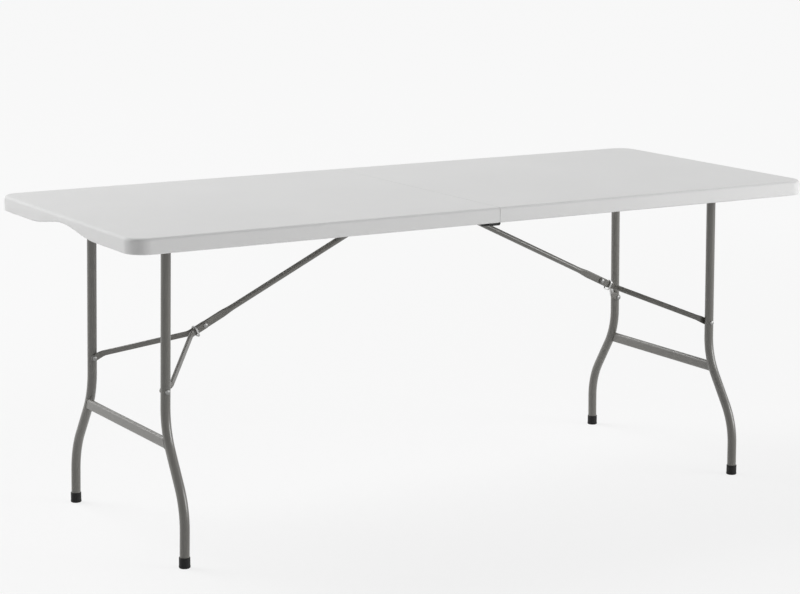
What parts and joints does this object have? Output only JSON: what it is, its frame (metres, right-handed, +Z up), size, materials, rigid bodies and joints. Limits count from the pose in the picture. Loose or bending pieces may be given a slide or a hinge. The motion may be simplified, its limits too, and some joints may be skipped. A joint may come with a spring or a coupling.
{
  "type": "folding table",
  "caption": "White moulded table top that folds in half, on bent tube leg frames that fold into its underside and are held by jointed braces with lock rings.",
  "frame": {"origin": "on the floor under the middle of the table", "axes": "+X along the table's length, +Y across it to the back, +Z up"},
  "size_m": [1.8, 0.74, 0.74],
  "materials": {
    "top_plastic": "fine moulded grain",
    "coated_steel": "smooth grey powder coat",
    "hinge_steel": "dark powder coat",
    "plated_steel": "bright plating",
    "bush_plastic": "plain moulded",
    "foot_plastic": "plain moulded"
  },
  "bodies": {
    "half_left": {"tabletop_left": "top_plastic", "rail_front_left": "coated_steel", "rail_back_left": "coated_steel", "hinge_leaf_front_left": "hinge_steel", "hinge_leaf_back_left": "hinge_steel", "brace_tube_left": "coated_steel", "hinge_pin_front": "hinge_steel", "hinge_pin_back": "hinge_steel"},
    "leg_frame_left": {"leg_front_left": "coated_steel", "leg_back_left": "coated_steel", "pivot_tube_left": "coated_steel", "pivot_stud_front_left": "plated_steel", "pivot_stud_back_left": "plated_steel", "pivot_bush_front_left": "bush_plastic", "pivot_bush_back_left": "bush_plastic", "crossbar_left": "coated_steel", "foot_cap_front_left": "foot_plastic", "foot_cap_back_left": "foot_plastic", "leg_rivet_front_left": "plated_steel", "leg_rivet_back_left": "plated_steel"},
    "brace_strut_left": {"strut_left": "coated_steel", "knee_rivet_left": "plated_steel"},
    "brace_yoke_left": {"yoke_arm_front_left": "coated_steel", "yoke_arm_back_left": "coated_steel", "yoke_rivet_front_left": "plated_steel", "yoke_rivet_back_left": "plated_steel"},
    "brace_ring_left": {"lock_ring_left": "plated_steel"},
    "half_right": {"tabletop_right": "top_plastic", "rail_front_right": "coated_steel", "rail_back_right": "coated_steel", "hinge_leaf_front_right": "hinge_steel", "hinge_leaf_back_right": "hinge_steel", "brace_tube_right": "coated_steel"},
    "leg_frame_right": {"leg_front_right": "coated_steel", "leg_back_right": "coated_steel", "pivot_tube_right": "coated_steel", "pivot_stud_front_right": "plated_steel", "pivot_stud_back_right": "plated_steel", "pivot_bush_front_right": "bush_plastic", "pivot_bush_back_right": "bush_plastic", "crossbar_right": "coated_steel", "foot_cap_front_right": "foot_plastic", "foot_cap_back_right": "foot_plastic", "leg_rivet_front_right": "plated_steel", "leg_rivet_back_right": "plated_steel"},
    "brace_strut_right": {"strut_right": "coated_steel", "knee_rivet_right": "plated_steel"},
    "brace_yoke_right": {"yoke_arm_front_right": "coated_steel", "yoke_arm_back_right": "coated_steel", "yoke_rivet_front_right": "plated_steel", "yoke_rivet_back_right": "plated_steel"},
    "brace_ring_right": {"lock_ring_right": "plated_steel"}
  },
  "joints": [
    {"name": "top_fold", "type": "hinge", "parent": "half_left", "child": "half_right", "pos_m": [0, 0, 0.6985], "axis": [0, 1, 0], "range_deg": [0, 85]},
    {"name": "leg_fold_left", "type": "hinge", "parent": "half_left", "child": "leg_frame_left", "pos_m": [-0.743, 0, 0.71], "axis": [0, -1, 0], "range_deg": [0, 91.05]},
    {"name": "strut_turn_left", "type": "hinge", "parent": "half_left", "child": "brace_strut_left", "pos_m": [-0.02, 0, 0.719], "axis": [0, 1, 0], "range_deg": [0, 25.6]},
    {"name": "knee_turn_left", "type": "hinge", "parent": "brace_strut_left", "child": "brace_yoke_left", "pos_m": [-0.55724, 0, 0.46188], "axis": [0, -1, 0], "range_deg": [0, 177.6]},
    {"name": "ring_slide_left", "type": "slide", "parent": "brace_strut_left", "child": "brace_ring_left", "axis": [0.902, 0, 0.4317], "range_m": [0, 0.301]},
    {"name": "leg_fold_right", "type": "hinge", "parent": "half_right", "child": "leg_frame_right", "pos_m": [0.743, 0, 0.71], "axis": [0, 1, 0], "range_deg": [0, 91.05]},
    {"name": "strut_turn_right", "type": "hinge", "parent": "half_right", "child": "brace_strut_right", "pos_m": [0.02, 0, 0.719], "axis": [0, -1, 0], "range_deg": [0, 25.6]},
    {"name": "knee_turn_right", "type": "hinge", "parent": "brace_strut_right", "child": "brace_yoke_right", "pos_m": [0.55724, 0, 0.46188], "axis": [0, 1, 0], "range_deg": [0, 177.6]},
    {"name": "ring_slide_right", "type": "slide", "parent": "brace_strut_right", "child": "brace_ring_right", "axis": [-0.902, 0, 0.4317], "range_m": [0, 0.301]}
  ],
  "couplings": [
    {"joint": "strut_turn_left", "follows": "leg_fold_left", "ratio": 0.2809},
    {"joint": "knee_turn_left", "follows": "leg_fold_left", "ratio": 1.9503},
    {"joint": "ring_slide_left", "follows": "leg_fold_left", "m_per_rad": 0.18879},
    {"joint": "strut_turn_right", "follows": "leg_fold_right", "ratio": 0.2809},
    {"joint": "knee_turn_right", "follows": "leg_fold_right", "ratio": 1.9503},
    {"joint": "ring_slide_right", "follows": "leg_fold_right", "m_per_rad": 0.18879}
  ]
}
